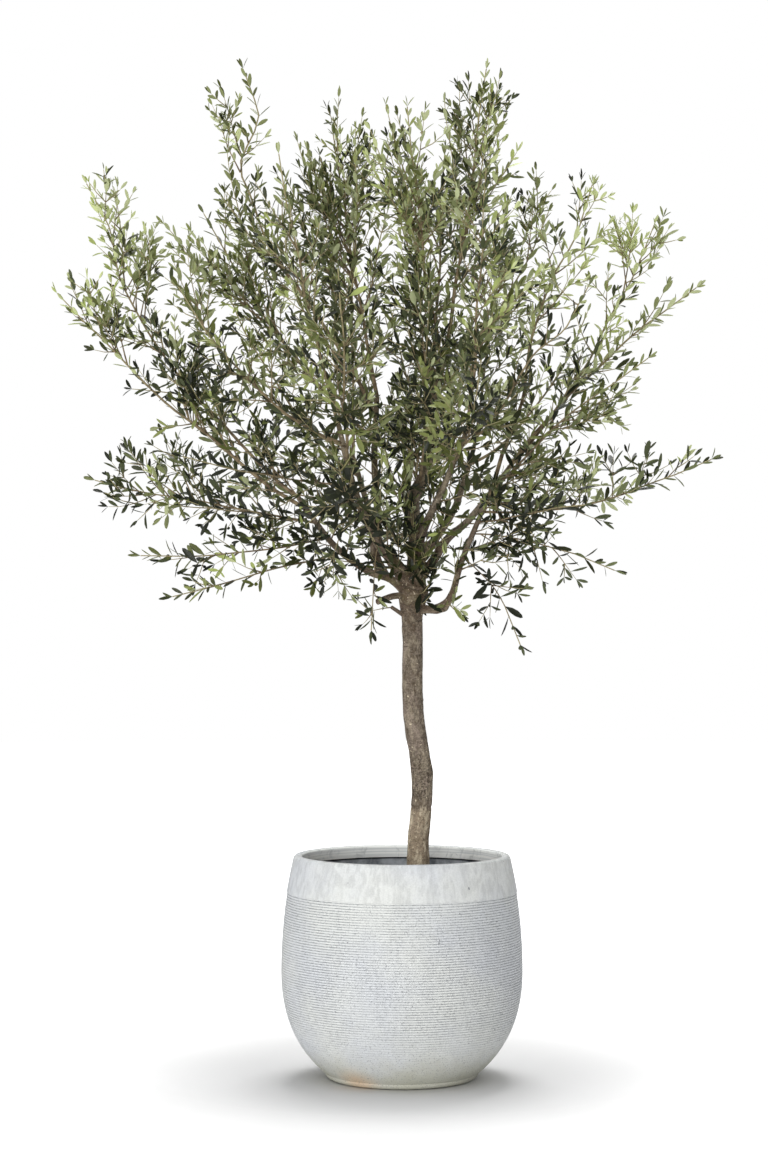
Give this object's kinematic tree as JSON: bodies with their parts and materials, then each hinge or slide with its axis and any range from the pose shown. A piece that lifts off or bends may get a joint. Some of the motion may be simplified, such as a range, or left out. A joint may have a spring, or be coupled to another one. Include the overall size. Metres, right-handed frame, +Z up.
{
  "type": "potted olive tree",
  "caption": "Olive tree with a clear stem and a loose open crown, growing in a round ribbed planter.",
  "frame": {"origin": "centre of the planter's flat underside", "axes": "+Z up along the planter's axis, -Y towards the front, +X to the right seen from the front"},
  "size_m": [1.6034, 1.4352, 2.4519],
  "materials": {
    "pot": "matte",
    "soil": "matte",
    "bark": "matte",
    "foliage": "satin"
  },
  "bodies": {
    "root": {"pot": "pot", "soil": "soil", "trunk": "bark", "bough_leader": "bark", "bough_left_low": "bark", "bough_left_rise": "bark", "bough_front_left": "bark", "bough_right": "bark", "bough_right_low": "bark", "bough_front_right": "bark", "bough_back_left": "bark", "bough_back_right": "bark", "bough_back_low": "bark", "stub_long": "bark", "stub_short": "bark", "foliage_top_spire": "foliage", "foliage_top_front": "foliage", "foliage_top_right": "foliage", "foliage_top_back": "foliage", "foliage_left_spike": "foliage", "foliage_upper_left_back": "foliage", "foliage_left_shoulder": "foliage", "foliage_far_left_top": "foliage", "foliage_far_left": "foliage", "foliage_left_side": "foliage", "foliage_left_under": "foliage", "foliage_left_sprig": "foliage", "foliage_front_left_high": "foliage", "foliage_front_left_far": "foliage", "foliage_front_high": "foliage", "foliage_front_left_side": "foliage", "foliage_front_under": "foliage", "foliage_middle_sprig": "foliage", "foliage_right_high": "foliage", "foliage_far_right_top": "foliage", "foliage_far_right": "foliage", "foliage_right_side": "foliage", "foliage_right_reach": "foliage", "foliage_right_under": "foliage", "foliage_right_sprig": "foliage", "foliage_front_right_under": "foliage", "foliage_front_right_high": "foliage", "foliage_front_reach": "foliage", "foliage_front_top": "foliage", "foliage_back_left_high": "foliage", "foliage_back_top_left": "foliage", "foliage_back_left_side": "foliage", "foliage_back_right_high": "foliage", "foliage_back_top_right": "foliage", "foliage_back_right_side": "foliage", "foliage_core_front": "foliage", "foliage_core_back": "foliage", "foliage_back_reach": "foliage", "foliage_back_under": "foliage"}
  },
  "joints": []
}
